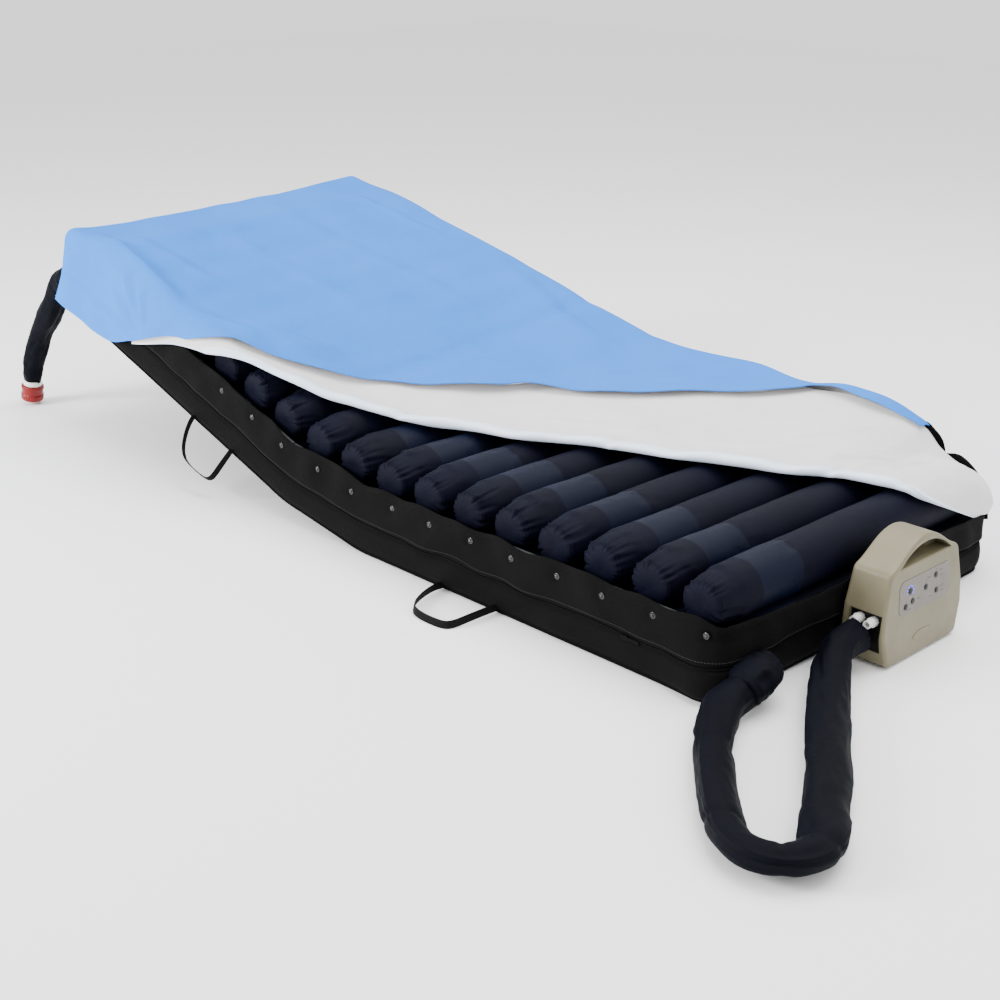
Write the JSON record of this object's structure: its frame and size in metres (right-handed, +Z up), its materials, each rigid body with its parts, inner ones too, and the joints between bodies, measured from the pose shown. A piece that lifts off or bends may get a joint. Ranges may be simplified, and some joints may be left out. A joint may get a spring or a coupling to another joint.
{
  "type": "pressure relief mattress",
  "caption": "Alternating-air mattress with transverse air cells in a zipped base cover, a folded-back top cover, an air pump, a hose sleeve and a release valve.",
  "frame": {"origin": "middle of the flat foot section's underside", "axes": "+X towards the foot end, -Y towards the near long side, +Z up"},
  "size_m": [2.654, 1.3807, 0.5226],
  "materials": {
    "cell_fabric": "matte",
    "base_fabric": "matte",
    "cover_fabric": "satin",
    "stud_metal": "polished",
    "air_tube": "satin",
    "webbing": "matte",
    "button_rubber": "matte",
    "sleeve_fabric": "matte",
    "valve_white": "satin",
    "valve_red": "gloss",
    "zip_metal": "satin",
    "pump_shell": "satin",
    "foot_rubber": "matte",
    "screw_steel": "satin",
    "panel_film": "satin",
    "plate_black": "satin",
    "connector_white": "gloss",
    "inlet_black": "matte",
    "switch_black": "gloss",
    "motor_metal": "matte",
    "board_resin": "matte",
    "hook_nylon": "satin"
  },
  "bodies": {
    "foot_section": {"air_cell_01": "cell_fabric", "air_cell_02": "cell_fabric", "air_cell_03": "cell_fabric", "air_cell_04": "cell_fabric", "air_cell_05": "cell_fabric", "air_cell_06": "cell_fabric", "air_cell_07": "cell_fabric", "air_cell_08": "cell_fabric", "base_cover_foot": "base_fabric", "top_cover_foot": "cover_fabric", "press_studs_foot": "stud_metal", "air_line_foot": "air_tube", "hose_cuff": "sleeve_fabric", "hose_sleeve": "sleeve_fabric", "pump_front_case": "pump_shell", "pump_rear_case": "pump_shell", "pump_feet": "foot_rubber", "pump_screws": "screw_steel", "control_panel": "panel_film", "connector_plate": "plate_black", "hose_connectors": "connector_white", "power_inlet": "inlet_black", "compressor": "motor_metal", "circuit_board": "board_resin"},
    "flex_section": {"air_cell_09": "cell_fabric", "air_cell_10": "cell_fabric", "base_cover_flex": "base_fabric", "top_cover_flex": "cover_fabric", "press_studs_flex": "stud_metal", "air_line_flex": "air_tube"},
    "head_section": {"air_cell_11": "cell_fabric", "air_cell_12": "cell_fabric", "air_cell_13": "cell_fabric", "air_cell_14": "cell_fabric", "air_cell_15": "cell_fabric", "air_cell_16": "cell_fabric", "air_cell_17": "cell_fabric", "air_cell_18": "cell_fabric", "base_cover_head": "base_fabric", "top_cover_head": "cover_fabric", "press_studs_head": "stud_metal", "air_line_head": "air_tube", "release_boot": "sleeve_fabric", "release_sleeve": "sleeve_fabric", "release_valve": "valve_white"},
    "release_cap": {"release_cap": "valve_red"},
    "zip_slider": {"zip_slider": "zip_metal"},
    "power_switch": {"power_switch": "switch_black"},
    "hook_near": {"hook_near": "hook_nylon"},
    "hook_far": {"hook_far": "hook_nylon"},
    "handle_near_foot": {"handle_near_foot": "webbing"},
    "handle_far_foot": {"handle_far_foot": "webbing"},
    "handle_near_head": {"handle_near_head": "webbing"},
    "handle_far_head": {"handle_far_head": "webbing"},
    "button_pressure_up": {"button_pressure_up": "button_rubber"},
    "button_pressure_down": {"button_pressure_down": "button_rubber"},
    "button_lock": {"button_lock": "button_rubber"},
    "button_mode": {"button_mode": "button_rubber"},
    "button_static": {"button_static": "button_rubber"},
    "button_alarm_mute": {"button_alarm_mute": "button_rubber"}
  },
  "joints": [
    {"name": "first_bend", "type": "hinge", "parent": "foot_section", "child": "flex_section", "pos_m": [-0.44, 0, 0.163], "axis": [0, 1, 0], "range_deg": [-9.3, 14.7]},
    {"name": "second_bend", "type": "hinge", "parent": "flex_section", "child": "head_section", "pos_m": [-0.65711, 0, 0.19855], "axis": [0, 1, 0], "range_deg": [-9.3, 14.7]},
    {"name": "handle_near_foot_swing", "type": "hinge", "parent": "foot_section", "child": "handle_near_foot", "pos_m": [-0.134, -0.4483, 0.009], "axis": [-1, 0, 0], "range_deg": [0, 80]},
    {"name": "handle_far_foot_swing", "type": "hinge", "parent": "foot_section", "child": "handle_far_foot", "pos_m": [-0.134, 0.4483, 0.009], "axis": [1, 0, 0], "range_deg": [0, 80]},
    {"name": "handle_near_head_swing", "type": "hinge", "parent": "head_section", "child": "handle_near_head", "pos_m": [-0.93559, -0.4483, 0.12979], "axis": [-0.9478, 0, 0.319], "range_deg": [0, 85]},
    {"name": "handle_far_head_swing", "type": "hinge", "parent": "head_section", "child": "handle_far_head", "pos_m": [-0.93559, 0.4483, 0.12979], "axis": [0.9478, 0, -0.319], "range_deg": [0, 85]},
    {"name": "zip_slide", "type": "slide", "parent": "foot_section", "child": "zip_slider", "axis": [1, 0, 0], "range_m": [-0.29, 0.13]},
    {"name": "release_twist", "type": "hinge", "parent": "head_section", "child": "release_cap", "pos_m": [-1.76035, -0.41527, 0.0508], "axis": [-0.1454, -0.0291, -0.9889], "range_deg": [0, 90]},
    {"name": "button_pressure_up_press", "type": "slide", "parent": "foot_section", "child": "button_pressure_up", "axis": [-0.9962, 0, -0.0872], "range_m": [0, 0.0008], "stiffness_N_per_m": 300},
    {"name": "button_pressure_down_press", "type": "slide", "parent": "foot_section", "child": "button_pressure_down", "axis": [-0.9962, 0, -0.0872], "range_m": [0, 0.0008], "stiffness_N_per_m": 300},
    {"name": "button_lock_press", "type": "slide", "parent": "foot_section", "child": "button_lock", "axis": [-0.9962, 0, -0.0872], "range_m": [0, 0.0008], "stiffness_N_per_m": 300},
    {"name": "button_mode_press", "type": "slide", "parent": "foot_section", "child": "button_mode", "axis": [-0.9962, 0, -0.0872], "range_m": [0, 0.0008], "stiffness_N_per_m": 300},
    {"name": "button_static_press", "type": "slide", "parent": "foot_section", "child": "button_static", "axis": [-0.9962, 0, -0.0872], "range_m": [0, 0.0008], "stiffness_N_per_m": 300},
    {"name": "button_alarm_mute_press", "type": "slide", "parent": "foot_section", "child": "button_alarm_mute", "axis": [-0.9962, 0, -0.0872], "range_m": [0, 0.0008], "stiffness_N_per_m": 300},
    {"name": "power_rocker", "type": "hinge", "parent": "foot_section", "child": "power_switch", "pos_m": [0.495, 0.1225, 0.084], "axis": [1, 0, 0], "range_deg": [-6, 6]},
    {"name": "hook_near_swing", "type": "hinge", "parent": "foot_section", "child": "hook_near", "pos_m": [0.4702, -0.079, 0.146], "axis": [1, 0, 0], "range_deg": [0, 90]},
    {"name": "hook_far_swing", "type": "hinge", "parent": "foot_section", "child": "hook_far", "pos_m": [0.4702, 0.089, 0.146], "axis": [-1, 0, 0], "range_deg": [0, 90]}
  ],
  "couplings": [
    {"joint": "second_bend", "follows": "first_bend", "ratio": 1}
  ]
}
